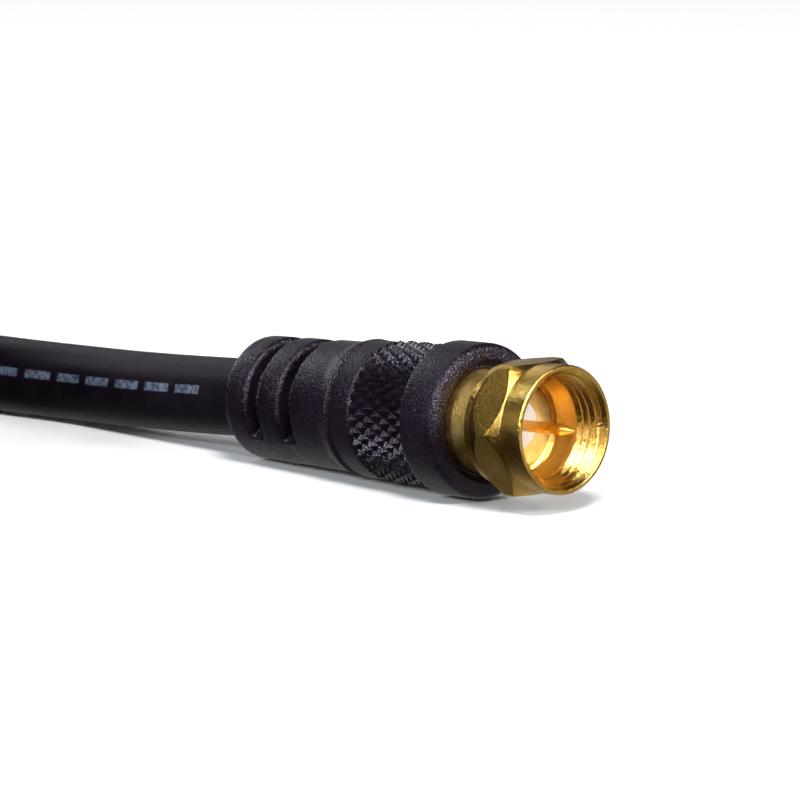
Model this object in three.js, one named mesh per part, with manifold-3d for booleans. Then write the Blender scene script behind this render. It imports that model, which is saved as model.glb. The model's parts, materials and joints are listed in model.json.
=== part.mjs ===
// A coaxial lead of about 1.5 m: a moulded screw-on connector at each end of a 7 mm cable.
// The near connector lies on the floor with its axis along +X. The cable behind it is wound into a round
// coil, held by two ties, and the far connector lies on top of the coil. Millimetres, +Z up.
import * as THREE from 'three';
import { mergeVertices } from 'three/addons/utils/BufferGeometryUtils.js';
import Module from 'manifold-3d';

const wasm = await Module();
wasm.setup();

// Clearance between touching pieces
const GAP = 0.3;

// Cable and coil
const CABLE_D = 7.0;
const CABLE_SIDES = 10;
const COIL_MEAN_R = 38.5;
const COIL_COLUMNS = 3;
const COIL_LAYERS = 3;
const COIL_CENTRE = [-74.5, -50.9];
const COIL_SEGMENTS = 56;
const CABLE_STEP = 7.0;

// Ties round the coil
const TIE_WIDTH = 10.0;
const TIE_THICKNESS = 0.8;
const TIE_CORNER_R = 3.0;
const TIE_ANGLES = [155, 280];

// Moulded body, from its front face backwards
const COLLAR_R = 6.69;
const COLLAR_LENGTH = 4.2;
const COLLAR_ROUND = 1.0;
const RECESS_R = 5.3;
const RECESS_DEPTH = 0.6;
const KNURL_ROOT_R = 5.95;
const KNURL_LENGTH = 7.05;
const BAND_R = 6.02;
const BAND_LENGTH = 2.35;
const SEAM_WIDTH = 0.5;
const SEAM_DEPTH = 0.35;
const FLARE_R = 6.09;
const FLARE_LENGTH = 1.4;
const BODY_R = 5.75;
const BODY_REAR_R = 5.68;
const BODY_LENGTH = 5.1;
const RIDGE_R = 5.6;
const RIDGE_LENGTH = 2.8;
const TAIL_R = 5.53;
const TAIL_LENGTH = 3.1;
const TAIL_ROUND = 0.6;
const SLOT_WIDTH = 1.45;
const SLOT_CORE_R = 4.25;
const SLOT_END_BELOW = 32;
const SLOT_CUTTER_R = 7.7;

// Ferrule: a barrel in the mould, a neck in front of it, and a post whose flange traps the nut
const BARREL_R = 4.0;
const BARREL_LENGTH = 6.0;
const NECK_R = 4.45;
const NECK_LENGTH = 1.98;
const NECK_ROUND = 0.35;
const POST_R = 2.95;
const POST_BORE_R = 2.37;
const FLANGE_R = 3.65;
const FLANGE_THICKNESS = 0.75;
const FLANGE_STEP_R = 2.75;
const FLANGE_STEP = 0.36;

// Coupling nut
const NUT_LENGTH = 6.9;
const NUT_WALL = 0.85;
const NUT_ACROSS_FLATS = 11.1;
const NUT_CORNER_R = 6.41;
const REAR_RING_R = 5.25;
const REAR_RING_LENGTH = 0.75;
const HEX_REAR_CHAMFER = 1.95;
const HEX_BAND = 1.0;
const HEX_FRONT_CHAMFER = 0.95;
const SLEEVE_R = 5.5;
const RIM_ROUND = 0.25;
const MOUTH_R = 5.1;
const THREAD_MAJOR_R = 4.76;
const THREAD_MINOR_R = 4.38;
const THREAD_PITCH = 0.794;
const THREAD_TURNS = 4;
const THREAD_START = 0.35;

// Centre contact
const PIN_R = 0.5;
const PIN_PAST_MOUTH = 1.1;
const PIN_TIP_LENGTH = 1.3;
const PIN_TIP_R = 0.12;
const PIN_SEAT = 2.4;
const DIELECTRIC_LENGTH = 3.4;

// Sides of the turned pieces
const NEAR_SEGMENTS = 30;
const FAR_SEGMENTS = 20;
const DIELECTRIC_SEGMENTS = 16;
const PIN_SEGMENTS = 10;

// Places along the connector's axis, from the mould's front face at 0
const NUT_REAR = NECK_LENGTH + GAP;
const MOUTH = NUT_REAR + NUT_LENGTH;
const FLANGE_REAR = NUT_REAR + NUT_WALL + GAP;
const FLANGE_FRONT = FLANGE_REAR + FLANGE_THICKNESS;
const POST_FACE = FLANGE_FRONT - FLANGE_STEP;
const COLLAR_REAR = -COLLAR_LENGTH;
const KNURL_REAR = COLLAR_REAR - KNURL_LENGTH;
const BAND_REAR = KNURL_REAR - BAND_LENGTH;
const BODY_FRONT = BAND_REAR - SEAM_WIDTH;
const BODY_REAR = BODY_FRONT - BODY_LENGTH;
const RIDGE_FRONT = BODY_REAR - SLOT_WIDTH;
const RIDGE_REAR = RIDGE_FRONT - RIDGE_LENGTH;
const TAIL_FRONT = RIDGE_REAR - SLOT_WIDTH;
const TAIL_REAR = TAIL_FRONT - TAIL_LENGTH;

// The collar's rear edge and the tail's rear edge both touch the floor, which tips the nose up
const TAIL_CONTACT = TAIL_REAR + TAIL_ROUND;
const TILT = Math.atan((COLLAR_R - TAIL_R) / (COLLAR_REAR - TAIL_CONTACT));

// Materials
const finish = (color, roughness, metalness) =>
  new THREE.MeshStandardMaterial({ color, roughness, metalness });
const mouldPlastic = finish(0x2b272d, 0.55, 0);
const jacketPlastic = finish(0x232126, 0.45, 0);
const goldPlate = finish(0xc99a3c, 0.25, 1);
const insulatorPlastic = finish(0xd9d2c4, 0.5, 0);
const tiePlastic = finish(0x1c1c1e, 0.6, 0);

// Shape helpers
function cornerArc(x, r, radius, fromDeg, toDeg, steps = 3) {
  const points = [];
  for (let i = 0; i <= steps; i += 1) {
    const a = THREE.MathUtils.degToRad(fromDeg + ((toDeg - fromDeg) * i) / steps);
    points.push([x + radius * Math.cos(a), r + radius * Math.sin(a)]);
  }
  return points;
}

// Turns a closed outline of [place along the axis, radius] points about the X axis
function turned(outline, segments) {
  const points = outline.map(([x, r]) => new THREE.Vector2(r, x));
  const first = outline[0];
  const last = outline[outline.length - 1];
  const onAxis = first[1] === 0 && last[1] === 0;
  if (!onAxis) points.push(points[0].clone());
  return new THREE.LatheGeometry(points, segments).rotateZ(-Math.PI / 2);
}

function toSolid(geometry) {
  const bare = geometry.clone();
  bare.deleteAttribute('normal');
  bare.deleteAttribute('uv');
  const merged = mergeVertices(bare, 1e-4);
  const index = Array.from(merged.index.array);
  const triVerts = [];
  for (let i = 0; i < index.length; i += 3) {
    const [a, b, c] = index.slice(i, i + 3);
    if (a !== b && b !== c && c !== a) triVerts.push(a, b, c);
  }
  return new wasm.Manifold(new wasm.Mesh({
    numProp: 3,
    vertProperties: merged.attributes.position.array,
    triVerts: new Uint32Array(triVerts),
  }));
}

function toGeometry(solid) {
  const mesh = solid.getMesh();
  const geometry = new THREE.BufferGeometry();
  geometry.setAttribute('position', new THREE.BufferAttribute(mesh.vertProperties, 3));
  geometry.setIndex(new THREE.BufferAttribute(mesh.triVerts, 1));
  geometry.computeVertexNormals();
  return geometry;
}

function piece(name, geometry, material) {
  const mesh = new THREE.Mesh(geometry, material);
  mesh.name = name;
  return mesh;
}

// Moulded body: collar, knurled band, smooth band, body, and two flexing ridges at the tail
function overmouldOutline() {
  const bore = BARREL_R + GAP;
  const neckHole = NECK_R + GAP;
  const boreEnd = -(BARREL_LENGTH + GAP);
  return [
    [TAIL_REAR, 0],
    ...cornerArc(TAIL_REAR + TAIL_ROUND, TAIL_R - TAIL_ROUND, TAIL_ROUND, 180, 90),
    [TAIL_FRONT, TAIL_R],
    [RIDGE_REAR, RIDGE_R],
    [RIDGE_FRONT, RIDGE_R],
    [BODY_REAR, BODY_REAR_R],
    [BODY_FRONT - FLARE_LENGTH, BODY_R],
    [BODY_FRONT, FLARE_R],
    [BODY_FRONT + SEAM_WIDTH / 2, BAND_R - SEAM_DEPTH],
    [BAND_REAR, BAND_R],
    [KNURL_REAR, BAND_R],
    [KNURL_REAR, KNURL_ROOT_R],
    [COLLAR_REAR, KNURL_ROOT_R],
    [COLLAR_REAR, COLLAR_R],
    ...cornerArc(-COLLAR_ROUND, COLLAR_R - COLLAR_ROUND, COLLAR_ROUND, 90, 0),
    [0, RECESS_R],
    [-RECESS_DEPTH, neckHole],
    [-RECESS_DEPTH - GAP, bore],
    [boreEnd, bore],
    [boreEnd, 0],
  ];
}

// A slot runs over the top and ends a little below each side, which leaves a web along the bottom
function slotCutter(rear, front) {
  const steps = 24;
  const from = THREE.MathUtils.degToRad(-SLOT_END_BELOW);
  const to = Math.PI - from;
  const shape = new THREE.Shape();
  shape.absarc(0, 0, SLOT_CUTTER_R, from, to, false);
  shape.absarc(0, 0, SLOT_CORE_R, to, from, true);
  const block = new THREE.ExtrudeGeometry(shape, {
    depth: front - rear, bevelEnabled: false, curveSegments: steps,
  });
  // The shape's x runs across the connector and its y runs up
  const turn = new THREE.Matrix4().makeBasis(
    new THREE.Vector3(0, 1, 0), new THREE.Vector3(0, 0, 1), new THREE.Vector3(1, 0, 0),
  );
  return toSolid(block.applyMatrix4(turn).translate(rear, 0, 0));
}

function overmouldGeometry(segments) {
  const body = toSolid(turned(overmouldOutline(), segments));
  const withRearSlot = body.subtract(slotCutter(TAIL_FRONT, RIDGE_REAR));
  return toGeometry(withRearSlot.subtract(slotCutter(RIDGE_FRONT, BODY_REAR)));
}

function ferruleOutline() {
  return [
    [-BARREL_LENGTH, POST_BORE_R],
    [-BARREL_LENGTH, BARREL_R],
    [-RECESS_DEPTH, BARREL_R],
    [-RECESS_DEPTH, NECK_R],
    [NECK_LENGTH - NECK_ROUND, NECK_R],
    [NECK_LENGTH, NECK_R - NECK_ROUND],
    [NECK_LENGTH, POST_R],
    [FLANGE_REAR, POST_R],
    [FLANGE_REAR, FLANGE_R],
    [FLANGE_FRONT, FLANGE_R],
    [FLANGE_FRONT, FLANGE_STEP_R],
    [POST_FACE, FLANGE_STEP_R],
    [POST_FACE, POST_BORE_R],
  ];
}

function threadOutline() {
  const start = MOUTH - THREAD_START;
  const points = [[MOUTH, MOUTH_R], [start, THREAD_MAJOR_R]];
  for (let i = 0; i < THREAD_TURNS; i += 1) {
    const front = start - i * THREAD_PITCH;
    points.push([front - THREAD_PITCH * 0.5, THREAD_MINOR_R]);
    points.push([front - THREAD_PITCH, THREAD_MAJOR_R]);
  }
  return points;
}

function nutOutline() {
  const hexRear = NUT_REAR + REAR_RING_LENGTH;
  const bandRear = hexRear + HEX_REAR_CHAMFER;
  const bandFront = bandRear + HEX_BAND;
  const innerWall = NUT_REAR + NUT_WALL;
  return [
    [NUT_REAR, POST_R + GAP],
    [NUT_REAR, REAR_RING_R],
    [hexRear, REAR_RING_R],
    [bandRear, NUT_CORNER_R],
    [bandFront, NUT_CORNER_R],
    [bandFront + HEX_FRONT_CHAMFER, SLEEVE_R],
    [MOUTH - RIM_ROUND, SLEEVE_R],
    [MOUTH, SLEEVE_R - RIM_ROUND],
    ...threadOutline(),
    [innerWall, THREAD_MAJOR_R],
    [innerWall, POST_R + GAP],
  ];
}

function nutGeometry(segments) {
  const body = toSolid(turned(nutOutline(), segments));
  const cornerR = NUT_ACROSS_FLATS / 2 / Math.cos(Math.PI / 6);
  const bar = new THREE.CylinderGeometry(cornerR, cornerR, NUT_LENGTH * 3, 6);
  const hexBar = toSolid(bar.rotateY(Math.PI / 2).rotateZ(-Math.PI / 2).translate(MOUTH, 0, 0));
  return toGeometry(body.intersect(hexBar));
}

function dielectricOutline() {
  const r = POST_BORE_R - GAP;
  const hole = PIN_R + GAP;
  const rear = POST_FACE - DIELECTRIC_LENGTH;
  return [
    [rear, 0],
    [rear, r],
    [POST_FACE, r],
    [POST_FACE, hole],
    [POST_FACE - PIN_SEAT - GAP, hole],
    [POST_FACE - PIN_SEAT - GAP, 0],
  ];
}

function pinOutline() {
  const tip = MOUTH + PIN_PAST_MOUTH;
  return [
    [POST_FACE - PIN_SEAT, 0],
    [POST_FACE - PIN_SEAT, PIN_R],
    [tip - PIN_TIP_LENGTH, PIN_R],
    [tip, PIN_TIP_R],
    [tip, 0],
  ];
}

// One whole connector, with its axis along +X and its mould's front face at the origin
function connector(prefix, segments) {
  const group = new THREE.Group();
  group.add(piece(`${prefix}overmould`, overmouldGeometry(segments), mouldPlastic));
  group.add(piece(`${prefix}ferrule`, turned(ferruleOutline(), segments), goldPlate));
  group.add(piece(`${prefix}coupling_nut`, nutGeometry(segments), goldPlate));
  group.add(piece(`${prefix}dielectric`, turned(dielectricOutline(), DIELECTRIC_SEGMENTS), insulatorPlastic));
  group.add(piece(`${prefix}centre_pin`, turned(pinOutline(), PIN_SEGMENTS), goldPlate));
  return group;
}

// Lays a connector on a level surface with its nose up by TILT: heading is its turn about Z
function layDown(group, x, y, surface, heading) {
  const lift = COLLAR_R * Math.cos(TILT) - COLLAR_REAR * Math.sin(TILT);
  group.rotation.set(0, -TILT, heading, 'ZYX');
  group.position.set(x, y, surface + lift);
  group.updateMatrixWorld(true);
  return group;
}

// The near connector is centred over the origin along X
const nearConnector = layDown(connector('', NEAR_SEGMENTS), 0, 0, 0, 0);
const nearBox = new THREE.Box3().setFromObject(nearConnector, true);
nearConnector.position.x -= (nearBox.min.x + nearBox.max.x) / 2;
nearConnector.updateMatrixWorld(true);

// Coil: one ring of the outer shape of all the turns, standing on the ties
const COIL_BASE = TIE_THICKNESS + GAP;
const COIL_HALF_WIDTH = (COIL_COLUMNS * CABLE_D) / 2;
const COIL_OUTER_R = COIL_MEAN_R + COIL_HALF_WIDTH;
const COIL_INNER_R = COIL_MEAN_R - COIL_HALF_WIDTH;
const COIL_HEIGHT = COIL_LAYERS * CABLE_D;

function ringOutline(outerR, innerR, bottom, top, round) {
  return [
    ...cornerArc(bottom + round, outerR - round, round, 180, 90, 2),
    ...cornerArc(top - round, outerR - round, round, 90, 0, 2),
    ...cornerArc(top - round, innerR + round, round, 0, -90, 2),
    ...cornerArc(bottom + round, innerR + round, round, -90, -180, 2),
  ];
}

function ringGeometry(outerR, innerR, bottom, top, round) {
  const outline = ringOutline(outerR, innerR, bottom, top, round);
  return turned(outline, COIL_SEGMENTS)
    .rotateY(-Math.PI / 2)
    .translate(COIL_CENTRE[0], COIL_CENTRE[1], 0);
}

const coilRing = ringGeometry(
  COIL_OUTER_R, COIL_INNER_R, COIL_BASE, COIL_BASE + COIL_HEIGHT, CABLE_D / 2,
);
const coilKeepOut = toSolid(ringGeometry(
  COIL_OUTER_R + GAP, COIL_INNER_R - GAP, COIL_BASE - GAP, COIL_BASE + COIL_HEIGHT + GAP, CABLE_D / 2,
));

// Cable stretches that are not coiled, as points of their centre lines
const nearRun = [
  [-19.3, 0, 5.31],
  [-24.0, 0, 4.86],
  [-30.0, 0, 4.38],
  [-37.0, 0, 3.9],
  [-44.0, -0.15, 3.57],
  [-51.0, -1.4, 3.5],
  [-57.0, -2.5, 3.55],
  [-60.5, -3.1, 3.75],
];
const endRun = [
  [-47.1, -75.6, 19.9],
  [-41.4, -67.7, 22.6],
  [-38.1, -58.6, 24.9],
  [-37.4, -49.0, 25.9],
  [-39.3, -39.5, 25.95],
  [-43.7, -30.9, 26.0],
  [-50.1, -23.8, 26.25],
  [-58.2, -18.8, 26.95],
  [-65.9, -16.3, 27.5],
  [-73.3, -15.3, 27.88],
];

function cableTube(points) {
  const curve = new THREE.CatmullRomCurve3(points.map((p) => new THREE.Vector3(...p)), false, 'centripetal');
  const shape = new THREE.Shape();
  shape.absarc(0, 0, CABLE_D / 2, 0, Math.PI * 2, false);
  const steps = Math.round(curve.getLength() / CABLE_STEP);
  return new THREE.ExtrudeGeometry(shape, {
    steps, extrudePath: curve, curveSegments: CABLE_SIDES / 2, bevelEnabled: false,
  });
}

function cutClearOfCoil(geometry) {
  return toGeometry(toSolid(geometry).subtract(coilKeepOut));
}

// Tie: a flat strap closed round the coil's section
function tieGeometry(angleDeg) {
  const inner = Math.sqrt(COIL_INNER_R ** 2 - (TIE_WIDTH / 2) ** 2) - GAP;
  const outer = COIL_OUTER_R + GAP;
  const top = COIL_BASE + COIL_HEIGHT + GAP;
  const strap = roundedFrame(inner - TIE_THICKNESS, outer + TIE_THICKNESS, 0, top + TIE_THICKNESS);
  strap.holes.push(roundedFrame(inner, outer, TIE_THICKNESS, top, TIE_CORNER_R - TIE_THICKNESS));
  const geometry = new THREE.ExtrudeGeometry(strap, {
    depth: TIE_WIDTH, bevelEnabled: false, curveSegments: 3,
  });
  return geometry
    .translate(0, 0, -TIE_WIDTH / 2)
    .rotateX(Math.PI / 2)
    .rotateZ(THREE.MathUtils.degToRad(angleDeg))
    .translate(COIL_CENTRE[0], COIL_CENTRE[1], 0);
}

function roundedFrame(left, right, bottom, top, radius = TIE_CORNER_R) {
  const shape = new THREE.Shape();
  shape.moveTo(left + radius, bottom);
  shape.lineTo(right - radius, bottom);
  shape.absarc(right - radius, bottom + radius, radius, -Math.PI / 2, 0, false);
  shape.absarc(right - radius, top - radius, radius, 0, Math.PI / 2, false);
  shape.absarc(left + radius, top - radius, radius, Math.PI / 2, Math.PI, false);
  shape.absarc(left + radius, bottom + radius, radius, Math.PI, Math.PI * 1.5, false);
  return shape;
}

// The far connector lies on the coil's top, in line with the end of the cable
const endPoint = endRun[endRun.length - 1];
const beforeEnd = endRun[endRun.length - 2];
const endHeading = Math.atan2(endPoint[1] - beforeEnd[1], endPoint[0] - beforeEnd[0]);
const tailReach = (-TAIL_REAR + GAP) * Math.cos(TILT);
const farConnector = layDown(
  connector('far_', FAR_SEGMENTS),
  endPoint[0] + tailReach * Math.cos(endHeading),
  endPoint[1] + tailReach * Math.sin(endHeading),
  COIL_BASE + COIL_HEIGHT + GAP,
  endHeading,
);

const lead = new THREE.Group();
lead.add(nearConnector);
lead.add(farConnector);
lead.add(piece('cable_run', cutClearOfCoil(cableTube(nearRun)), jacketPlastic));
lead.add(piece('cable_coil', coilRing, jacketPlastic));
lead.add(piece('cable_end', cutClearOfCoil(cableTube(endRun)), jacketPlastic));
TIE_ANGLES.forEach((angle, i) => {
  lead.add(piece(`coil_tie_${i + 1}`, tieGeometry(angle), tiePlastic));
});
lead.updateMatrixWorld(true);

export default lead;
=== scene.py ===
import json
import math

import bmesh
import bpy
import numpy as np
from mathutils import Matrix, Vector


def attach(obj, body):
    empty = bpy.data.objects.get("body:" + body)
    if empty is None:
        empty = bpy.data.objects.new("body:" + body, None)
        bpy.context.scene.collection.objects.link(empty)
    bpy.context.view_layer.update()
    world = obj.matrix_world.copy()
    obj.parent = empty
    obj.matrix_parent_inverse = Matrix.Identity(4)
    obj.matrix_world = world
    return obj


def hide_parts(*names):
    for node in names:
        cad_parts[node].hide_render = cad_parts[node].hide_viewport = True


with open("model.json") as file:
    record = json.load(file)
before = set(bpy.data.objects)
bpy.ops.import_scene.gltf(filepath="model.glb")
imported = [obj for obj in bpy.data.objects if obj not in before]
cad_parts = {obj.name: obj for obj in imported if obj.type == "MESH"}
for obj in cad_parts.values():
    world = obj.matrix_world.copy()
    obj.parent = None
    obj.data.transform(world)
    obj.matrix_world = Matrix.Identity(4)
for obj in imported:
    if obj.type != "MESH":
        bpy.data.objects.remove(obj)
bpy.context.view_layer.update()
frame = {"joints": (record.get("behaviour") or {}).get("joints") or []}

# A coaxial lead with a moulded screw-on connector at each end. The near connector lies on the floor with
# its axis along +X, and the far one lies on the coil. Sizes are in millimetres unless a heading says metres,
# and a connector's places are counted along its own axis from the moulding's front face.
MM = 0.001

# Camera, from the photograph's perspective
LENS_MM = 225.0
CAMERA_HEADING = math.radians(136.38)
CAMERA_DROP = math.radians(10.0)
CAMERA_TO_MOUTH = Vector((13.866, -2.526, -419.51)) * MM

# Floor, in metres
FLOOR_REACH = 3.0

# Cable
CABLE_R = 3.5
CABLE_HOLE_R = 3.6
CABLE_SIDES = 32
COIL_CENTRE = Vector((-74.5, -50.9))
COIL_STEP_DEG = 15
COIL_BASE = 1.1
COIL_OUTER_TURN_R = 45.5
COIL_INNER_TURN_R = 31.5
COIL_LAST_R = 37.3
COIL_LAYERS = 3

# The step of the cable's mesh and its two uncoiled runs, in metres
CABLE_STEP = 0.002
NEAR_RUN = [
    (-0.0186, 0, 0.00534),
    (-0.0240, 0, 0.00486),
    (-0.0300, 0, 0.00438),
    (-0.0370, 0, 0.00390),
    (-0.0440, -0.00015, 0.00357),
    (-0.0510, -0.00140, 0.00350),
    (-0.0570, -0.00250, 0.00355),
    (-0.0605, -0.00310, 0.00375),
]
END_RUN = [
    (-0.0471, -0.0756, 0.01990),
    (-0.0414, -0.0677, 0.02260),
    (-0.0381, -0.0586, 0.02490),
    (-0.0374, -0.0490, 0.02590),
    (-0.0393, -0.0395, 0.02595),
    (-0.0437, -0.0309, 0.02600),
    (-0.0501, -0.0238, 0.02625),
    (-0.0582, -0.0188, 0.02695),
    (-0.0659, -0.0163, 0.02750),
    (-0.0733, -0.0153, 0.02788),
]

# Ink dashes on the jacket, in metres
INK_START = 0.0055
INK_STEP = 0.0042
INK_ACROSS = 0.0010
INK_HEIGHT = 0.0008
INK_DASHES = 7
INK_GROUPS = 4

# The strap's weave, in metres
WEAVE_STEP = 0.0009

# Ties
TIE_WIDTH = 10.0
TIE_THICKNESS = 0.8
TIE_ROUND = 3.0
TIE_INSIDE_GAP = 1.15
TIE_OUTSIDE_GAP = 0.7
TIE_ANGLES_DEG = (155, 280)

# Moulded body
COLLAR_R = 6.69
COLLAR_REAR = -4.2
COLLAR_ROUND = 1.15
COLLAR_REAR_ROUND = 0.45
RECESS_R = 5.3
RECESS_DEPTH = 0.6
NECK_HOLE_DEPTH = 2.0
NECK_GAP = 0.05
KNURL_REAR = -11.25
KNURL_R = 6.28
KNURL_DEPTH = 0.5
KNURL_AROUND = 35
KNURL_PITCH = 1.97
KNURL_CELLS = 20
KNURL_ROWS = 69
KNURL_FADE = 0.4
KNURL_CREST = 0.9
KNURL_SEAT = 0.06
KNURL_PHASE = -3 / KNURL_CELLS
BAND_R = 6.02
BAND_REAR = -13.6
SEAM_WIDTH = 0.5
SEAM_DEPTH = 0.4
FLARE_R = 6.12
FLARE_LENGTH = 1.4
BODY_R = 5.75
BODY_REAR_R = 5.68
BODY_REAR = -19.2
SLOT_WIDTH = 1.45
SLOT_CORE_R = 4.25
SLOT_WALL_LEAN = 0.12
SLOT_EDGE_ROUND = 0.5
SLOT_FLOOR_ROUND = 0.25
RIDGE_R = 5.6
RIDGE_REAR = -23.45
TAIL_FRONT = -24.9
TAIL_R = 5.53
TAIL_REAR = -28.0
TAIL_ROUND = 0.75
SLOT_END = math.radians(32)
SLOT_END_SLOPE = math.radians(5)
MOULD_COLUMNS = 288

# Metal parts
NECK_R = 4.45
NECK_FRONT = 1.98
NECK_HIDDEN = 1.5
NUT_REAR = 2.28
NUT_MIDDLE = 5.7
MOUTH = 9.18
MOUTH_CHAMFER = 0.35
NUT_WALL = 0.85
REAR_RING_R = 5.25
HEX_REAR = 3.03
HEX_BAND_REAR = 4.98
HEX_BAND_FRONT = 5.98
HEX_FRONT = 6.93
HEX_CORNER_R = 6.38
HEX_FLAT_R = 5.55
SLEEVE_R = 5.5
RIM_R = 5.12
BORE_R = 4.76
THREAD_DEPTH = 0.40
THREAD_PITCH = 0.794
THREAD_REAR = 5.75
THREAD_ROWS = 90
THREAD_FADE = 0.3
THREAD_CREST = 0.86
NUT_HOLE_R = 3.25
POCKET_R = 3.72
POST_R = 2.95
FLANGE_R = 3.65
POST_BORE_R = 2.1
FLANGE_REAR = 3.43
POST_FACE = 3.82
PIN_R = 0.5
PIN_TIP = 10.28
PIN_TIP_LENGTH = 1.4
PIN_HIDDEN = 2.0
PIN_HOLE_DEPTH = 1.5
PIN_HOLE_GAP = 0.05
INSULATOR_LENGTH = 3.4
INSULATOR_GAP = 0.02
NUT_COLUMNS = 360


# Shader maths

class Wire:
    """A socket's value. Sums, products and the like of it add Math nodes."""

    def __init__(self, recipe, socket):
        self.recipe = recipe
        self.socket = socket

    def maths(self, operation, *values):
        return self.recipe.node("Math", {"operation": operation}, dict(enumerate(values)))

    def __add__(self, other):
        return self.maths("ADD", self, other)

    def __radd__(self, other):
        return self.maths("ADD", other, self)

    def __sub__(self, other):
        return self.maths("SUBTRACT", self, other)

    def __rsub__(self, other):
        return self.maths("SUBTRACT", other, self)

    def __mul__(self, other):
        return self.maths("MULTIPLY", self, other)

    def __rmul__(self, other):
        return self.maths("MULTIPLY", other, self)

    def __truediv__(self, other):
        return self.maths("DIVIDE", self, other)

    def fraction(self):
        return self.maths("FRACT", self)

    def size(self):
        return self.maths("ABSOLUTE", self)

    def least(self, other):
        return self.maths("MINIMUM", self, other)

    def sine(self):
        return self.maths("SINE", self)

    def cosine(self):
        return self.maths("COSINE", self)

    def between(self, low, high):
        """0 up to low, 1 from high on, and smooth between them."""
        settings = {"interpolation_type": "SMOOTHSTEP"}
        return self.recipe.node("MapRange", settings, {"Value": self, "From Min": low, "From Max": high})


class Recipe:
    """Adds nodes to a node tree, and links or fills in their sockets."""

    def __init__(self, tree, family="ShaderNode"):
        self.tree = tree
        self.family = family

    def node(self, kind, settings=None, inputs=None, output=0):
        name = kind if "Node" in kind else self.family + kind
        if kind in ("Math", "MapRange", "VectorMath"):
            name = "ShaderNode" + kind
        made = self.tree.nodes.new(name)
        for key, value in (settings or {}).items():
            setattr(made, key, value)
        for key, value in (inputs or {}).items():
            socket = made.inputs[key]
            if isinstance(value, Wire):
                self.tree.links.new(value.socket, socket)
            else:
                socket.default_value = value
        if not made.outputs:
            return made
        return Wire(self, made.outputs[output])

    def blend(self, first, second, factor):
        """The colour first where factor is 0, and second where it is 1."""
        settings = {"data_type": "RGBA"}
        inputs = {0: factor, 6: colour(first), 7: colour(second)}
        return self.node("Mix", settings, inputs, output=2)

    def noise(self, place, scale, detail=2.0, roughness=0.5):
        inputs = {"Vector": place, "Scale": scale, "Detail": detail, "Roughness": roughness}
        return self.node("TexNoise", {}, inputs)

    def cells(self, place, scale):
        return self.node("TexVoronoi", {}, {"Vector": place, "Scale": scale})

    def axes(self, vector):
        """The vector's X, Y and Z."""
        first = self.node("ShaderNodeSeparateXYZ", {}, {0: vector})
        return [Wire(self, socket) for socket in first.socket.node.outputs]

    def uv(self):
        return self.axes(self.node("TexCoord", output="UV"))[:2]

    def bump(self, height, distance, strength=1.0):
        return self.node("Bump", {}, {"Height": height, "Distance": distance, "Strength": strength})


def colour(value):
    if isinstance(value, Wire):
        return value
    return (*value, 1.0)


def material(name, **fixed):
    """A new material, its recipe, its Principled shader, and Object coordinates."""
    made = bpy.data.materials.new(name)
    made.use_nodes = True
    tree = made.node_tree
    tree.nodes.clear()
    recipe = Recipe(tree)
    shader = tree.nodes.new("ShaderNodeBsdfPrincipled")
    output = tree.nodes.new("ShaderNodeOutputMaterial")
    tree.links.new(shader.outputs[0], output.inputs["Surface"])
    for key, value in fixed.items():
        shader.inputs[key.replace("_", " ")].default_value = value
    place = recipe.node("TexCoord", output="Object")
    return made, recipe, shader, place


def feed(shader, **wires):
    for key, wire in wires.items():
        shader.id_data.links.new(wire.socket, shader.inputs[key.replace("_", " ")])


# Materials

def mould_plastic(name, roughness, grain):
    """Black moulded PVC, with a fine spark-eroded grain of beads that glints under the lights."""
    made, recipe, shader, place = material(
        name, Specular_IOR_Level=0.38, Specular_Tint=(0.95, 0.82, 1.0, 1.0),
    )
    fine = recipe.noise(place, 9000.0, 1.0, 0.5)
    bead = recipe.cells(place, 5400.0)
    cloud = recipe.noise(place, 260.0, 3.0, 0.55)
    base = recipe.blend((0.0034, 0.0014, 0.0040), (0.0070, 0.0034, 0.0085), cloud.between(0.35, 0.7))
    feed(
        shader,
        Base_Color=base,
        Roughness=roughness + 0.2 * fine,
        Normal=recipe.bump(fine * 0.35 - bead * 0.65, grain, 1.0),
    )
    return made


def ink_dashes(recipe, wear):
    """Plain printed dashes in groups along the jacket, worn and uneven."""
    along, across = recipe.uv()
    step = (along - INK_START) / INK_STEP
    within = (step.fraction() - 0.5).size()
    middle = (across - INK_ACROSS).size()
    dash = (1 - within.between(0.34, 0.42)) * (1 - middle.between(INK_HEIGHT * 0.38, INK_HEIGHT * 0.58))
    group = (step / INK_DASHES / INK_GROUPS).fraction()
    printed = 1 - group.between(1 / INK_GROUPS - 0.001, 1 / INK_GROUPS)
    return dash * printed * (0.25 + 0.6 * wear.between(0.38, 0.6))


def jacket_plastic():
    """Satin black PVC cable jacket, with a worn row of plain ink dashes."""
    made, recipe, shader, place = material(
        "jacket_plastic", Specular_IOR_Level=0.35, Specular_Tint=(0.95, 0.80, 1.0, 1.0),
    )
    cloud = recipe.noise(place, 300.0, 3.0, 0.55)
    fine = recipe.noise(place, 4200.0, 2.0, 0.6)
    bare = recipe.blend((0.0022, 0.0010, 0.0028), (0.0048, 0.0026, 0.0056), cloud.between(0.35, 0.7))
    ink = ink_dashes(recipe, recipe.noise(place, 2600.0, 3.0, 0.6))
    feed(
        shader,
        Base_Color=recipe.blend(bare, (0.105, 0.13, 0.18), ink),
        Roughness=0.36 + 0.16 * cloud,
        Normal=recipe.bump(fine, 0.00005, 0.8),
    )
    return made


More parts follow.
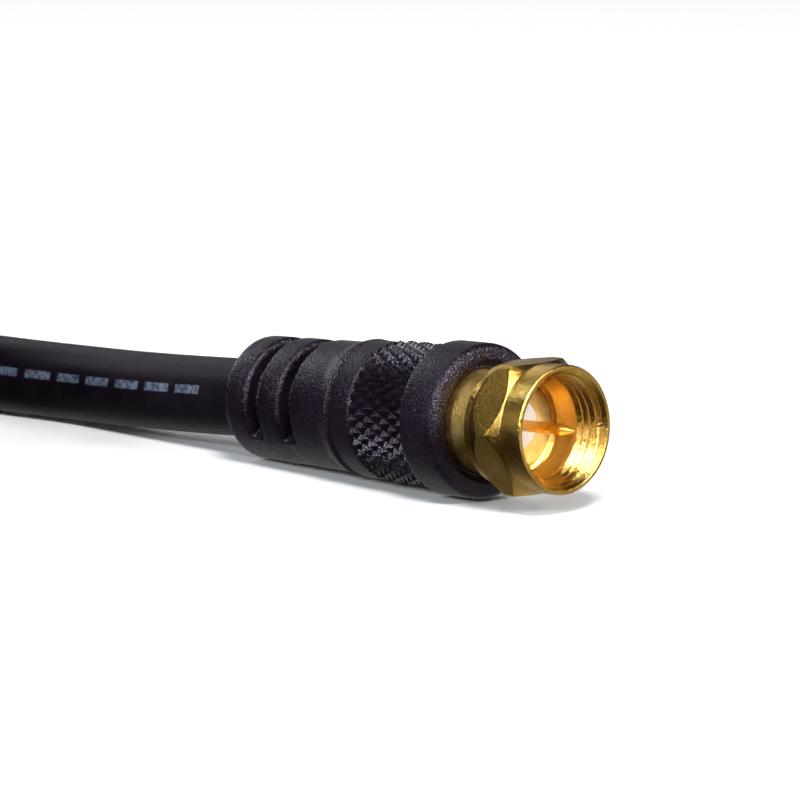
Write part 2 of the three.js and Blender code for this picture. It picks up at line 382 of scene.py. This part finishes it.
def gold_plate():
    """Gold plate on turned brass: bright, with a fine grain."""
    made, recipe, shader, place = material("gold_plate", Metallic=1.0)
    grain = recipe.noise(place, 5200.0, 3.0, 0.65)
    cloud = recipe.noise(place, 420.0, 3.0, 0.6)
    base = recipe.blend((0.68, 0.39, 0.07), (0.84, 0.55, 0.15), cloud.between(0.3, 0.7))
    feed(
        shader,
        Base_Color=base,
        Roughness=0.13 + 0.14 * cloud,
        Normal=recipe.bump(grain, 0.00007, 0.6),
    )
    return made


def satin_gold():
    """Gold plate over a blasted surface."""
    made, recipe, shader, place = material("satin_gold", Metallic=1.0)
    grain = recipe.noise(place, 6000.0, 2.0, 0.6)
    cloud = recipe.noise(place, 700.0, 3.0, 0.6)
    base = recipe.blend((0.62, 0.38, 0.10), (0.80, 0.56, 0.20), cloud.between(0.3, 0.7))
    feed(shader, Base_Color=base, Roughness=0.36 + 0.2 * cloud, Normal=recipe.bump(grain, 0.00009, 0.8))
    return made


def insulator_plastic():
    """Warm off-white polyethylene."""
    made, recipe, shader, place = material("insulator_plastic", Specular_IOR_Level=0.4)
    cloud = recipe.noise(place, 900.0, 3.0, 0.5)
    base = recipe.blend((0.46, 0.40, 0.33), (0.60, 0.54, 0.46), cloud)
    feed(shader, Base_Color=base, Roughness=0.5 + 0.15 * cloud, Normal=recipe.bump(cloud, 0.00003, 0.4))
    return made


def strap_fabric():
    """Black woven strap: a small basket weave with a little lint."""
    made, recipe, shader, place = material("strap_fabric", Specular_IOR_Level=0.2)
    along, across = recipe.uv()
    ribs = (along * (math.tau / WEAVE_STEP)).sine() * (across * (math.tau / WEAVE_STEP)).sine()
    lint = recipe.noise(place, 1500.0, 3.0, 0.6)
    base = recipe.blend((0.012, 0.012, 0.013), (0.035, 0.035, 0.038), lint)
    feed(shader, Base_Color=base, Roughness=0.75 + 0.2 * lint, Normal=recipe.bump(ribs, 0.00012, 0.8))
    return made


def pale_floor():
    made, recipe, shader, place = material("pale_floor", Roughness=0.6)
    tone = recipe.noise(place, 6.0, 2.0)
    feed(shader, Base_Color=recipe.blend((0.90, 0.90, 0.90), (0.92, 0.92, 0.92), tone))
    return made


# Mesh helpers

def rounded(points, steps=4):
    """A polyline whose corners are rounded: each point is (x, r) or (x, r, corner radius)."""
    out = []
    for i, point in enumerate(points):
        here = Vector(point[:2])
        radius = point[2] if len(point) > 2 else 0.0
        if radius <= 0 or i in (0, len(points) - 1):
            out.append(tuple(here))
            continue
        back = Vector(points[i - 1][:2]) - here
        ahead = Vector(points[i + 1][:2]) - here
        half = back.angle(ahead) / 2
        reach = min(radius / math.tan(half), 0.49 * back.length, 0.49 * ahead.length)
        first = here + back.normalized() * reach
        last = here + ahead.normalized() * reach
        for k in range(steps + 1):
            t = k / steps
            out.append(tuple((1 - t) ** 2 * first + 2 * t * (1 - t) * here + t ** 2 * last))
    return out


def turned_mesh(name, outline_at, columns, closed):
    """Turns an outline about X. outline_at(angle) gives that column's (x, r) points.
    A closed outline joins its last point to its first."""
    angles = [math.tau * k / columns for k in range(columns)]
    grid = np.array([outline_at(a) for a in angles])
    turn = np.array(angles)[:, None]
    xyz = np.stack([grid[:, :, 0], grid[:, :, 1] * np.cos(turn), grid[:, :, 1] * np.sin(turn)], axis=2)
    count = grid.shape[1]
    faces = []
    for c in range(columns):
        nxt = (c + 1) % columns
        for p in range(count if closed else count - 1):
            q = (p + 1) % count
            faces.append((c * count + p, nxt * count + p, nxt * count + q, c * count + q))
    return bare_mesh(name, xyz.reshape(-1, 3), faces)


def bare_mesh(name, points, faces):
    data = bpy.data.meshes.new(name)
    data.from_pydata([tuple(p) for p in points], [], faces)
    work = bmesh.new()
    work.from_mesh(data)
    bmesh.ops.remove_doubles(work, verts=work.verts, dist=1e-6)
    bmesh.ops.dissolve_degenerate(work, edges=work.edges, dist=1e-7)
    bmesh.ops.recalc_face_normals(work, faces=work.faces)
    work.to_mesh(data)
    work.free()
    return data


def finish_piece(data, place, finish, body, slot, *nodes, sharp=35):
    """Puts a mesh in its place, gives it its material, and ties it to its body."""
    data.transform(place)
    data.materials.clear()
    data.materials.append(finish)
    data.shade_smooth()
    data.set_sharp_from_angle(angle=math.radians(sharp))
    data = face_weighted(data)
    made = bpy.data.objects.new(data.name, data)
    bpy.context.scene.collection.objects.link(made)
    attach(made, body)
    if nodes:
        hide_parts(*nodes)
    return made


def face_weighted(data):
    """The mesh with its normals weighted by face area, which keeps wide faces flat beside small bevels."""
    name = data.name
    holder = bpy.data.objects.new(name + "_holder", data)
    bpy.context.scene.collection.objects.link(holder)
    modifier = holder.modifiers.new("weighted", "WEIGHTED_NORMAL")
    modifier.keep_sharp = True
    bpy.context.view_layer.update()
    seen = holder.evaluated_get(bpy.context.evaluated_depsgraph_get())
    made = bpy.data.meshes.new_from_object(seen)
    holder.modifiers.clear()
    bpy.data.objects.remove(holder)
    bpy.data.meshes.remove(data)
    made.name = name
    return made


def ease(t):
    return 0.5 - 0.5 * math.cos(math.pi * min(max(t, 0.0), 1.0))


# Knurl and thread: one tree wraps a grid into a band with helical relief

def relief_tree():
    """Geometry Nodes: a band about X whose radius follows one or two sets of helical V grooves."""
    tree = bpy.data.node_groups.new("helical_relief", "GeometryNodeTree")
    socket = tree.interface.new_socket
    socket("Geometry", in_out="OUTPUT", socket_type="NodeSocketGeometry")
    for name in ("Radius", "Length", "Start", "Depth", "Pitch", "Phase", "Fade", "Crest"):
        socket(name, in_out="INPUT", socket_type="NodeSocketFloat")
    for name in ("Starts", "Rows", "Columns"):
        socket(name, in_out="INPUT", socket_type="NodeSocketInt")
    socket("Crossed", in_out="INPUT", socket_type="NodeSocketBool")
    socket("Finish", in_out="INPUT", socket_type="NodeSocketMaterial")
    recipe = Recipe(tree, "GeometryNode")
    group = tree.nodes.new("NodeGroupInput")
    value = {s.name: Wire(recipe, s) for s in group.outputs if s.name}

    inputs = {"Size X": 1.0, "Size Y": 1.0, "Vertices X": value["Rows"], "Vertices Y": value["Columns"]}
    grid = recipe.node("MeshGrid", {}, inputs)
    at = recipe.node("InputPosition")
    along, around = [part + 0.5 for part in recipe.axes(at)[:2]]
    run = along * value["Length"]

    def groove(direction):
        phase = around * value["Starts"] + (run / value["Pitch"] + value["Phase"]) * direction
        return 1 - (phase.fraction() * 2 - 1).size()

    single = groove(1.0)
    crossed = single.least(groove(-1.0))
    inputs = {"Switch": value["Crossed"], "False": single, "True": crossed}
    height = recipe.node("Switch", {"input_type": "FLOAT"}, inputs).least(value["Crest"])
    ends = (run / value["Fade"]).least((value["Length"] - run) / value["Fade"])
    lift = height * ends.between(0.0, 1.0) * value["Depth"]
    radius = value["Radius"] + lift
    angle = around * math.tau
    inputs = {0: value["Start"] + run, 1: radius * angle.cosine(), 2: radius * angle.sine()}
    wrapped = recipe.node("ShaderNodeCombineXYZ", {}, inputs)
    band = recipe.node("SetPosition", {}, {"Geometry": grid, "Position": wrapped})
    joined = recipe.node("MergeByDistance", {}, {"Geometry": band, "Distance": 1e-5})
    real = recipe.node("RealizeInstances", {}, {"Geometry": joined})
    finished = recipe.node("SetMaterial", {}, {"Geometry": real, "Material": value["Finish"]})
    output = tree.nodes.new("NodeGroupOutput")
    tree.links.new(finished.socket, output.inputs[0])
    return tree


def relief_mesh(name, tree, **sizes):
    """The band as a plain mesh, in the connector's own millimetres."""
    holder = bpy.data.objects.new(name, bpy.data.meshes.new(name + "_start"))
    bpy.context.scene.collection.objects.link(holder)
    modifier = holder.modifiers.new("relief", "NODES")
    modifier.node_group = tree
    for item in tree.interface.items_tree:
        if item.item_type == "SOCKET" and item.in_out == "INPUT":
            modifier[item.identifier] = sizes[item.name]
    bpy.context.view_layer.update()
    seen = holder.evaluated_get(bpy.context.evaluated_depsgraph_get())
    data = bpy.data.meshes.new_from_object(seen)
    data.name = name
    holder.modifiers.clear()
    bpy.data.objects.remove(holder)
    return data


def joined_mesh(name, *parts):
    """One mesh of several, with the vertices that meet made one."""
    work = bmesh.new()
    for part in parts:
        work.from_mesh(part)
    bmesh.ops.remove_doubles(work, verts=work.verts, dist=2e-4)
    bmesh.ops.recalc_face_normals(work, faces=work.faces)
    data = bpy.data.meshes.new(name)
    work.to_mesh(data)
    work.free()
    for part in parts:
        bpy.data.meshes.remove(part)
    return data


# Connector

def connector_place(joint_name):
    """The connector's own frame: X along its axis from the moulding's front face, Z upwards."""
    joint = next(j for j in frame["joints"] if j["name"] == joint_name)
    axis = Vector(joint["axis"]).normalized()
    across = Vector((0, 0, 1)).cross(axis).normalized()
    up = axis.cross(across)
    place = Matrix((axis, across, up)).transposed().to_4x4()
    place.translation = Vector(joint["pos_m"]) - axis * NUT_MIDDLE * MM
    return place @ Matrix.Scale(MM, 4)


def mould_outline(depth_share):
    """The moulding's outline. depth_share is 1 where the flexing slots are cut and 0 along the web."""
    def slot(rear, front, rear_r, front_r):
        floor_rear = rear_r + (SLOT_CORE_R - rear_r) * depth_share
        floor_front = front_r + (SLOT_CORE_R - front_r) * depth_share
        return [
            (rear, rear_r, SLOT_EDGE_ROUND),
            (rear + SLOT_WALL_LEAN, floor_rear, SLOT_FLOOR_ROUND),
            (front - SLOT_WALL_LEAN, floor_front, SLOT_FLOOR_ROUND),
            (front, front_r, SLOT_EDGE_ROUND),
        ]

    neck_hole = NECK_R + NECK_GAP
    root = KNURL_R - KNURL_DEPTH - KNURL_SEAT
    return rounded([
        (TAIL_REAR, 0),
        (TAIL_REAR, CABLE_HOLE_R, 0.1),
        (TAIL_REAR, TAIL_R - 0.05, TAIL_ROUND),
        *slot(TAIL_FRONT, RIDGE_REAR, TAIL_R, RIDGE_R),
        *slot(BODY_REAR - SLOT_WIDTH, BODY_REAR, RIDGE_R, BODY_REAR_R),
        (BAND_REAR - SEAM_WIDTH - FLARE_LENGTH, BODY_R, 0.6),
        (BAND_REAR - SEAM_WIDTH, FLARE_R, 0.2),
        (BAND_REAR - SEAM_WIDTH / 2, BAND_R - SEAM_DEPTH, 0.06),
        (BAND_REAR, BAND_R, 0.2),
        (KNURL_REAR, BAND_R, 0.25),
        (KNURL_REAR + 0.25, root, 0.1),
        (COLLAR_REAR - 0.06, root, 0.1),
        (COLLAR_REAR, COLLAR_R, COLLAR_REAR_ROUND),
        (0, COLLAR_R, COLLAR_ROUND),
        (0, RECESS_R, 0.25),
        (-RECESS_DEPTH, neck_hole + 0.3, 0.15),
        (-RECESS_DEPTH, neck_hole, 0.1),
        (-RECESS_DEPTH - NECK_HOLE_DEPTH, neck_hole),
        (-RECESS_DEPTH - NECK_HOLE_DEPTH, 0),
    ])


def mould_mesh(name):
    """The slots run over the top, and end a little below each side."""
    outlines = {}

    def outline_at(angle):
        height = math.asin(math.sin(angle))
        share = ease((height + SLOT_END) / SLOT_END_SLOPE)
        key = round(share, 6)
        if key not in outlines:
            outlines[key] = mould_outline(share)
        return outlines[key]

    return turned_mesh(name, outline_at, MOULD_COLUMNS, closed=False)


def hex_radius(angle):
    """How far the hexagon reaches at an angle, with its corners just rounded."""
    off = (angle + math.pi / 6) % (math.pi / 3) - math.pi / 6
    flat = HEX_FLAT_R / math.cos(math.pi / 6 - abs(off))
    return min(flat, HEX_CORNER_R)


def nut_outline(angle):
    """The nut's outline at an angle, without its thread. Each end chamfer meets the flat at its width."""
    reach = hex_radius(angle)
    rear_slope = (HEX_BAND_REAR - HEX_REAR) / (HEX_CORNER_R - REAR_RING_R)
    front_slope = (HEX_FRONT - HEX_BAND_FRONT) / (HEX_CORNER_R - SLEEVE_R)
    rear = HEX_REAR + (reach - REAR_RING_R) * rear_slope
    front = HEX_FRONT - (reach - SLEEVE_R) * front_slope
    return rounded([
        (THREAD_REAR, BORE_R),
        (POST_FACE + 1.8, BORE_R, 1.2),
        (POST_FACE + 0.1, POCKET_R + 0.5, 1.2),
        (POST_FACE, POCKET_R, 0.1),
        (NUT_REAR + NUT_WALL, POCKET_R, 0.1),
        (NUT_REAR + NUT_WALL, NUT_HOLE_R, 0.1),
        (NUT_REAR, NUT_HOLE_R, 0.1),
        (NUT_REAR, REAR_RING_R, 0.2),
        (HEX_REAR, REAR_RING_R, 0.12),
        (rear, reach, 0.10),
        (front, reach, 0.10),
        (HEX_FRONT, SLEEVE_R, 0.15),
        (MOUTH, SLEEVE_R, 0.22),
        (MOUTH, RIM_R, 0.12),
        (MOUTH - MOUTH_CHAMFER, BORE_R),
    ])


def nut_mesh(name, tree, finish):
    """The nut with its thread: a turned shell left open at the thread, and a helical band that fills it."""
    shell = turned_mesh(name + "_shell", nut_outline, NUT_COLUMNS, closed=False)
    thread = relief_mesh(
        name + "_thread", tree, Radius=BORE_R, Length=MOUTH - MOUTH_CHAMFER - THREAD_REAR, Start=THREAD_REAR,
        Depth=-THREAD_DEPTH, Pitch=THREAD_PITCH, Phase=0.0, Fade=THREAD_FADE, Crest=THREAD_CREST, Starts=1,
        Rows=THREAD_ROWS, Columns=NUT_COLUMNS + 1, Crossed=False, Finish=finish,
    )
    return joined_mesh(name, shell, thread)


def ferrule_outline():
    return rounded([
        (-RECESS_DEPTH - NECK_HIDDEN, POST_BORE_R),
        (-RECESS_DEPTH - NECK_HIDDEN, NECK_R),
        (NECK_FRONT, NECK_R, 0.3),
        (NECK_FRONT, POST_R, 0.1),
        (FLANGE_REAR, POST_R, 0.1),
        (FLANGE_REAR, FLANGE_R, 0.08),
        (POST_FACE + 0.1, FLANGE_R, 0.08),
        (POST_FACE + 0.02, POST_BORE_R + 0.3, 0.3),
        (POST_FACE, POST_BORE_R, 0.05),
    ])


def pin_outline():
    return rounded([
        (POST_FACE - PIN_HIDDEN, 0),
        (POST_FACE - PIN_HIDDEN, PIN_R),
        (PIN_TIP - PIN_TIP_LENGTH, PIN_R, 0.15),
        (PIN_TIP, 0.06, 0.05),
        (PIN_TIP, 0),
    ])


def insulator_outline():
    outside = POST_BORE_R - INSULATOR_GAP
    hole = PIN_R + PIN_HOLE_GAP
    return rounded([
        (POST_FACE - INSULATOR_LENGTH, 0),
        (POST_FACE - INSULATOR_LENGTH, outside),
        (POST_FACE, outside, 0.06),
        (POST_FACE, hole, 0.03),
        (POST_FACE - PIN_HOLE_DEPTH, hole),
        (POST_FACE - PIN_HOLE_DEPTH, 0),
    ])


def add_connector(prefix, joint_name, nut_body, tree, finishes):
    """Every piece of one connector, each standing for its node."""
    place = connector_place(joint_name)
    mould, knurled, gold, satin, insulator = finishes
    pieces = []
    body = mould_mesh(prefix + "moulded_body")
    pieces.append(finish_piece(body, place, mould, "lead", "mould", prefix + "overmould"))
    knurl = relief_mesh(
        prefix + "knurled_band", tree, Radius=KNURL_R - KNURL_DEPTH, Start=KNURL_REAR,
        Length=KNURL_ROWS * KNURL_PITCH / KNURL_CELLS, Depth=KNURL_DEPTH, Pitch=KNURL_PITCH,
        Phase=KNURL_PHASE, Fade=KNURL_FADE, Crest=KNURL_CREST, Starts=KNURL_AROUND, Rows=KNURL_ROWS + 1,
        Columns=KNURL_AROUND * KNURL_CELLS + 1, Crossed=True, Finish=knurled,
    )
    pieces.append(finish_piece(knurl, place, knurled, "lead", "mould", sharp=28))
    ferrule = turned_mesh(prefix + "gold_ferrule", lambda a: ferrule_outline(), 128, closed=True)
    pieces.append(finish_piece(ferrule, place, satin, "lead", "gold", prefix + "ferrule"))
    core = turned_mesh(prefix + "insulator", lambda a: insulator_outline(), 64, closed=False)
    pieces.append(finish_piece(core, place, insulator, "lead", "insulator", prefix + "dielectric"))
    pin = turned_mesh(prefix + "contact_pin", lambda a: pin_outline(), 48, closed=False)
    pieces.append(finish_piece(pin, place, gold, "lead", "gold", prefix + "centre_pin"))
    nut = nut_mesh(prefix + "hex_nut", tree, gold)
    pieces.append(finish_piece(nut, place, gold, nut_body, "gold", prefix + "coupling_nut", sharp=13))
    return pieces


# Cable

def coil_points():
    """The turns, as a flat spiral in each layer and a slow climb between the layers."""
    pitch = 2 * CABLE_R
    stages = [
        (0, 720, COIL_OUTER_TURN_R, COIL_INNER_TURN_R, 0, 0),
        (720, 810, COIL_INNER_TURN_R, COIL_INNER_TURN_R, 0, 1),
        (810, 1530, COIL_INNER_TURN_R, COIL_OUTER_TURN_R, 1, 1),
        (1530, 1590, COIL_OUTER_TURN_R, COIL_OUTER_TURN_R, 1, 2),
        (1590, 2010, COIL_OUTER_TURN_R, COIL_LAST_R, 2, 2),
    ]
    points = []
    for start, end, first_r, last_r, first_layer, last_layer in stages:
        for travel in range(max(start, COIL_STEP_DEG), end, COIL_STEP_DEG):
            share = (travel - start) / (end - start)
            radius = first_r + (last_r - first_r) * share
            layer = first_layer + (last_layer - first_layer) * ease(share)
            angle = math.radians(90 + travel)
            across = COIL_CENTRE + radius * Vector((math.cos(angle), math.sin(angle)))
            height = COIL_BASE + CABLE_R + pitch * layer
            points.append((across.x * MM, across.y * MM, height * MM))
    return points


def smooth_line(points, step):
    """A centripetal Catmull-Rom line through the points, then even steps along it."""
    known = np.array(points, float)
    known = np.vstack([2 * known[0] - known[1], known, 2 * known[-1] - known[-2]])
    dense = []
    for p0, p1, p2, p3 in zip(known, known[1:], known[2:], known[3:]):
        t0 = 0.0
        t1 = t0 + np.linalg.norm(p1 - p0) ** 0.5
        t2 = t1 + np.linalg.norm(p2 - p1) ** 0.5
        t3 = t2 + np.linalg.norm(p3 - p2) ** 0.5
        for t in np.linspace(t1, t2, 12, endpoint=False):
            a1 = (t1 - t) / (t1 - t0) * p0 + (t - t0) / (t1 - t0) * p1
            a2 = (t2 - t) / (t2 - t1) * p1 + (t - t1) / (t2 - t1) * p2
            a3 = (t3 - t) / (t3 - t2) * p2 + (t - t2) / (t3 - t2) * p3
            b1 = (t2 - t) / (t2 - t0) * a1 + (t - t0) / (t2 - t0) * a2
            b2 = (t3 - t) / (t3 - t1) * a2 + (t - t1) / (t3 - t1) * a3
            dense.append((t2 - t) / (t2 - t1) * b1 + (t - t1) / (t2 - t1) * b2)
    dense.append(known[-2])
    dense = np.array(dense)
    run = np.concatenate([[0], np.cumsum(np.linalg.norm(np.diff(dense, axis=0), axis=1))])
    even = np.linspace(0, run[-1], max(2, round(run[-1] / step)) + 1)
    return np.stack([np.interp(even, run, dense[:, k]) for k in range(3)], axis=1)


def swept_tube(name, line, radius, sides):
    """A closed tube along a line. Its UV map holds the way along it and round it, in metres."""
    ahead = np.gradient(line, axis=0)
    ahead /= np.linalg.norm(ahead, axis=1)[:, None]
    side = np.cross((0, 0, 1), ahead[0])
    side /= np.linalg.norm(side)
    rings = []
    for here, way in zip(line, ahead):
        side = side - way * np.dot(side, way)
        side /= np.linalg.norm(side)
        up = np.cross(way, side)
        turn = np.linspace(0, math.tau, sides, endpoint=False)[:, None]
        rings.append(here + radius * (np.cos(turn) * side + np.sin(turn) * up))
    points = np.concatenate(rings + [line[:1], line[-1:]])
    faces = []
    last = len(line) - 1
    for k in range(last):
        for s in range(sides):
            t = (s + 1) % sides
            faces.append((k * sides + s, k * sides + t, (k + 1) * sides + t, (k + 1) * sides + s))
    hub = len(line) * sides
    for s in range(sides):
        t = (s + 1) % sides
        faces.append((t, s, hub))
        faces.append((last * sides + s, last * sides + t, hub + 1))
    data = bpy.data.meshes.new(name)
    data.from_pydata([tuple(p) for p in points], [], faces)
    uv = data.uv_layers.new(name="UVMap")
    gap = np.linalg.norm(line[1] - line[0])
    for face in data.polygons:
        corners = list(face.loop_indices)
        wraps = face.index < last * sides and face.index % sides == sides - 1
        for loop, vertex in zip(corners, face.vertices):
            ring, spot = divmod(vertex, sides)
            if vertex >= hub:
                ring, spot = (0 if vertex == hub else last), 0
            if wraps and spot == 0:
                spot = sides
            uv.data[loop].uv = (ring * gap, spot / sides * math.tau * radius)
    return data


def add_cable(finish):
    line = smooth_line(NEAR_RUN + coil_points() + END_RUN, CABLE_STEP)
    data = swept_tube("cable", line, CABLE_R * MM, CABLE_SIDES)
    cable = finish_piece(
        data, Matrix.Identity(4), finish, "lead", "jacket",
        "cable_run", "cable_coil", "cable_end", sharp=60,
    )
    return cable


# Ties

def strap_path():
    """The strap's middle line round the coil's section, in radius and height, with rounded corners."""
    inner = COIL_INNER_TURN_R - CABLE_R - TIE_INSIDE_GAP
    outer = COIL_OUTER_TURN_R + CABLE_R + TIE_OUTSIDE_GAP
    low = TIE_THICKNESS / 2
    high = COIL_BASE + COIL_LAYERS * 2 * CABLE_R + TIE_OUTSIDE_GAP
    middle = ((inner + outer) / 2, low)
    corners = [(outer, low), (outer, high), (inner, high), (inner, low)]
    return rounded([middle, *[(*corner, TIE_ROUND) for corner in corners], middle], steps=8)


def add_tie(number, angle_deg, finish):
    """A flat strap closed round the coil."""
    data = ribbon(f"strap_{number}", strap_path()[:-1])
    turn = Matrix.Rotation(math.radians(angle_deg), 4, "Z")
    place = Matrix.Translation((COIL_CENTRE.x * MM, COIL_CENTRE.y * MM, 0)) @ turn @ Matrix.Scale(MM, 4)
    return finish_piece(data, place, finish, "lead", "tie", f"coil_tie_{number}", sharp=40)


def ribbon(name, path):
    """A closed strap of the tie's width and thickness along a path in the X and Z plane."""
    line = [Vector((x, 0, z)) for x, z in path]
    count = len(line)
    half = TIE_WIDTH / 2
    thick = TIE_THICKNESS / 2
    section = [(-half, -thick), (half, -thick), (half, thick), (-half, thick)]
    points = []
    for i, here in enumerate(line):
        ahead = line[(i + 1) % count] - line[i - 1]
        out = Vector((ahead.z, 0, -ahead.x)).normalized()
        points += [here + Vector((0, w, 0)) + out * t for w, t in section]
    faces = []
    for i in range(count):
        j = (i + 1) % count
        for s in range(4):
            t = (s + 1) % 4
            faces.append((i * 4 + s, i * 4 + t, j * 4 + t, j * 4 + s))
    data = bare_mesh(name, points, faces)
    uv = data.uv_layers.new(name="UVMap")
    for loop in data.loops:
        co = data.vertices[loop.vertex_index].co
        uv.data[loop.index].uv = ((co.x + co.z) * MM, co.y * MM)
    return data


# Stage: camera, floor and lights

def add_camera():
    """Looks at the near connector as the photograph does."""
    place = connector_place("near_nut_spin")
    mouth = place @ Vector((MOUTH, 0, 0))
    turn = Matrix.Rotation(CAMERA_HEADING - math.pi / 2, 4, "Z")
    turn = turn @ Matrix.Rotation(math.pi / 2 - CAMERA_DROP, 4, "X")
    data = bpy.data.cameras.new("camera")
    data.lens = LENS_MM
    data.sensor_width = 36.0
    data.clip_start = 0.01
    camera = bpy.data.objects.new("camera", data)
    bpy.context.scene.collection.objects.link(camera)
    camera.matrix_world = Matrix.Translation(mouth - turn.to_3x3() @ CAMERA_TO_MOUTH) @ turn
    bpy.context.scene.camera = camera


def add_floor():
    """A pale floor. It lights the object, but its mirror image is kept out of the black and the gold."""
    data = bpy.data.meshes.new("floor")
    signs = [(-1, -1), (1, -1), (1, 1), (-1, 1)]
    corners = [(x * FLOOR_REACH, y * FLOOR_REACH, 0) for x, y in signs]
    data.from_pydata(corners, [], [(0, 1, 2, 3)])
    data.materials.append(pale_floor())
    floor = bpy.data.objects.new("floor", data)
    bpy.context.scene.collection.objects.link(floor)
    floor.visible_glossy = False


def add_light(name, place, width, height, power, tint=(1, 1, 1)):
    """A softbox turned to the near connector. Its place and sizes are in metres, and its power in watts."""
    data = bpy.data.lights.new(name, "AREA")
    data.shape = "RECTANGLE"
    data.size = width
    data.size_y = height
    data.energy = power
    data.color = tint
    light = bpy.data.objects.new(name, data)
    bpy.context.scene.collection.objects.link(light)
    way = (-Vector(place)).to_track_quat("-Z", "Y")
    light.matrix_world = Matrix.Translation(place) @ way.to_matrix().to_4x4()


def add_lights():
    # Behind and to the left, for the sheen along the tops and the edges of the black parts
    add_light("softbox", (-1.30, 0.75, 1.15), 0.9, 0.9, 2.4, (0.93, 0.96, 1.0))
    add_light("high_left", (-1.20, -0.40, 1.15), 0.2, 0.2, 1.8, (0.84, 0.92, 1.0))
    add_light("low_left", (-1.43, -1.38, 0.45), 0.9, 0.4, 1.6)
    add_light("rim", (-1.70, 0.40, 0.42), 0.5, 0.3, 2.4, (0.90, 0.95, 1.0))
    # Over the camera's side, for the floor, the knurl's facets and the grain's glints
    add_light("overhead", (0.95, -0.65, 1.50), 0.5, 0.5, 35.0)
    add_light("above", (-0.20, -0.85, 1.50), 0.25, 0.25, 4.0, (0.90, 0.95, 1.0))
    add_light("beside_camera", (0.05, -1.35, 0.70), 0.3, 0.45, 15.0, (0.90, 0.95, 1.0))
    # In front of the mouth, for the inside of the nut
    add_light("beside_lens", (1.15, -1.20, 0.50), 0.3, 0.3, 2.5)
    add_light("front", (1.25, 0.25, 0.50), 0.5, 0.4, 23.0)


def add_surroundings():
    """Dim surroundings, with an uneven glow low behind the object for the metal to mirror."""
    world = bpy.data.worlds.new("studio")
    bpy.context.scene.world = world
    world.use_nodes = True
    background = world.node_tree.nodes["Background"]
    background.inputs["Color"].default_value = (1, 1, 1, 1)
    recipe = Recipe(world.node_tree)
    way = recipe.node("TexCoord", output="Generated")
    _, behind, height = recipe.axes(way)
    patch = recipe.noise(way, 3.0, 1.0).between(0.44, 0.58)
    glow = behind.between(-0.45, 0.40) * (1 - height.between(0.0, 0.30))
    strength = 0.03 + (0.24 + 0.26 * patch) * glow
    world.node_tree.links.new(strength.socket, background.inputs["Strength"])


def main():
    add_camera()
    tree = relief_tree()
    grained = mould_plastic("mould_plastic", 0.19, 0.00009)
    knurled = mould_plastic("knurled_plastic", 0.16, 0.00004)
    finishes = (grained, knurled, gold_plate(), satin_gold(), insulator_plastic())
    add_connector("", "near_nut_spin", "near_nut", tree, finishes)
    far = add_connector("far_", "far_nut_spin", "far_nut", tree, finishes)
    strap = strap_fabric()
    ties = [add_tie(i + 1, angle, strap) for i, angle in enumerate(TIE_ANGLES_DEG)]
    add_cable(jacket_plastic())
    add_floor()
    add_lights()
    add_surroundings()
    bpy.context.scene.view_settings.view_transform = "Standard"


main()
